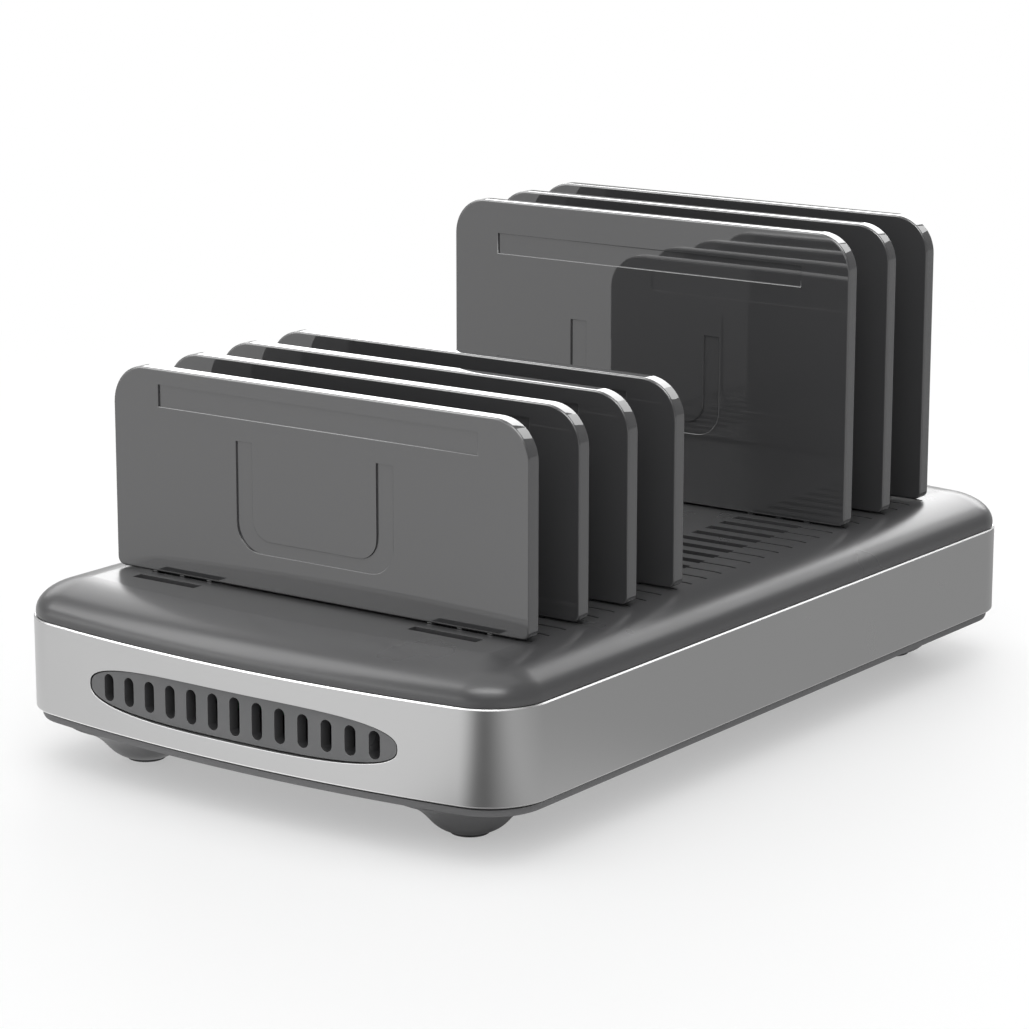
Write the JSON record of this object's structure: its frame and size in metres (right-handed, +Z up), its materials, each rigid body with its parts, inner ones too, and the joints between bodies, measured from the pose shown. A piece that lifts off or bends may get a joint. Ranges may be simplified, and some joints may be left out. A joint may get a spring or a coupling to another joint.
{
  "type": "usb charging station",
  "caption": "Desktop charging station: a low banded case with a slotted deck, lift-out upright dividers, side USB sockets, a vented end, and a mains inlet with a rocker switch.",
  "frame": {"origin": "on the table under the middle of the case", "axes": "+X towards the vented end, +Y towards the plain long side, +Z up; the USB sockets face -Y and the mains inlet -X"},
  "size_m": [0.2504, 0.1536, 0.1247],
  "materials": {
    "satin_black_plastic": "semi-gloss moulded plastic",
    "gloss_black_plastic": "high-gloss moulded plastic",
    "tray_plastic": "fine spark-textured moulded plastic",
    "grey_panel_plastic": "fine textured grey moulded plastic",
    "satin_silver": "satin metallic finish with a polished top bevel",
    "foot_rubber": "moulded rubber",
    "plated_steel": "bright nickel plate",
    "socket_insulator": "moulded insulator",
    "circuit_board": "green solder mask",
    "ferrite": "ferrite core with taped winding",
    "capacitor_sleeve": "shrink sleeve",
    "copper_winding": "enamelled copper wire",
    "extruded_aluminium": "mill finish"
  },
  "bodies": {
    "case": {"base_tray": "tray_plastic", "side_band": "satin_silver", "top_cover": "satin_black_plastic", "vent_grille": "grey_panel_plastic", "inlet_panel": "grey_panel_plastic", "mains_inlet": "tray_plastic", "inlet_pin_left": "plated_steel", "inlet_pin_right": "plated_steel", "switch_body": "tray_plastic", "port_fascia": "grey_panel_plastic", "charging_board": "circuit_board", "power_board": "circuit_board", "transformer": "ferrite", "bulk_capacitor": "capacitor_sleeve", "filter_choke": "copper_winding", "heat_sink": "extruded_aluminium", "usb_shell_01": "plated_steel", "usb_insert_01": "socket_insulator", "usb_shell_02": "plated_steel", "usb_insert_02": "socket_insulator", "usb_shell_03": "plated_steel", "usb_insert_03": "socket_insulator", "usb_shell_04": "plated_steel", "usb_insert_04": "socket_insulator", "usb_shell_05": "plated_steel", "usb_insert_05": "socket_insulator", "usb_shell_06": "plated_steel", "usb_insert_06": "socket_insulator", "usb_shell_07": "plated_steel", "usb_insert_07": "socket_insulator", "usb_shell_08": "plated_steel", "usb_insert_08": "socket_insulator", "usb_shell_09": "plated_steel", "usb_insert_09": "socket_insulator", "usb_shell_10": "plated_steel", "usb_insert_10": "socket_insulator", "output_capacitor_1": "capacitor_sleeve", "output_capacitor_2": "capacitor_sleeve", "output_capacitor_3": "capacitor_sleeve", "leg_1": "tray_plastic", "foot_pad_1": "foot_rubber", "case_screw_1": "plated_steel", "leg_2": "tray_plastic", "foot_pad_2": "foot_rubber", "case_screw_2": "plated_steel", "leg_3": "tray_plastic", "foot_pad_3": "foot_rubber", "case_screw_3": "plated_steel", "leg_4": "tray_plastic", "foot_pad_4": "foot_rubber", "case_screw_4": "plated_steel"},
    "short_divider_1": {"divider_short_1": "gloss_black_plastic"},
    "short_divider_2": {"divider_short_2": "gloss_black_plastic"},
    "short_divider_3": {"divider_short_3": "gloss_black_plastic"},
    "short_divider_4": {"divider_short_4": "gloss_black_plastic"},
    "tall_divider_1": {"divider_tall_1": "gloss_black_plastic"},
    "tall_divider_2": {"divider_tall_2": "gloss_black_plastic"},
    "tall_divider_3": {"divider_tall_3": "gloss_black_plastic"},
    "power_switch": {"switch_rocker": "gloss_black_plastic"}
  },
  "joints": [
    {"name": "short_divider_1_lift", "type": "slide", "parent": "case", "child": "short_divider_1", "axis": [0, 0, 1], "range_m": [0, 0.04]},
    {"name": "short_divider_2_lift", "type": "slide", "parent": "case", "child": "short_divider_2", "axis": [0, 0, 1], "range_m": [0, 0.04]},
    {"name": "short_divider_3_lift", "type": "slide", "parent": "case", "child": "short_divider_3", "axis": [0, 0, 1], "range_m": [0, 0.04]},
    {"name": "short_divider_4_lift", "type": "slide", "parent": "case", "child": "short_divider_4", "axis": [0, 0, 1], "range_m": [0, 0.04]},
    {"name": "tall_divider_1_lift", "type": "slide", "parent": "case", "child": "tall_divider_1", "axis": [0, 0, 1], "range_m": [0, 0.04]},
    {"name": "tall_divider_2_lift", "type": "slide", "parent": "case", "child": "tall_divider_2", "axis": [0, 0, 1], "range_m": [0, 0.04]},
    {"name": "tall_divider_3_lift", "type": "slide", "parent": "case", "child": "tall_divider_3", "axis": [0, 0, 1], "range_m": [0, 0.04]},
    {"name": "power_switch_rock", "type": "hinge", "parent": "case", "child": "power_switch", "pos_m": [-0.12028, -0.017, 0.0253], "axis": [0, 0, -1], "range_deg": [0, 14]}
  ]
}
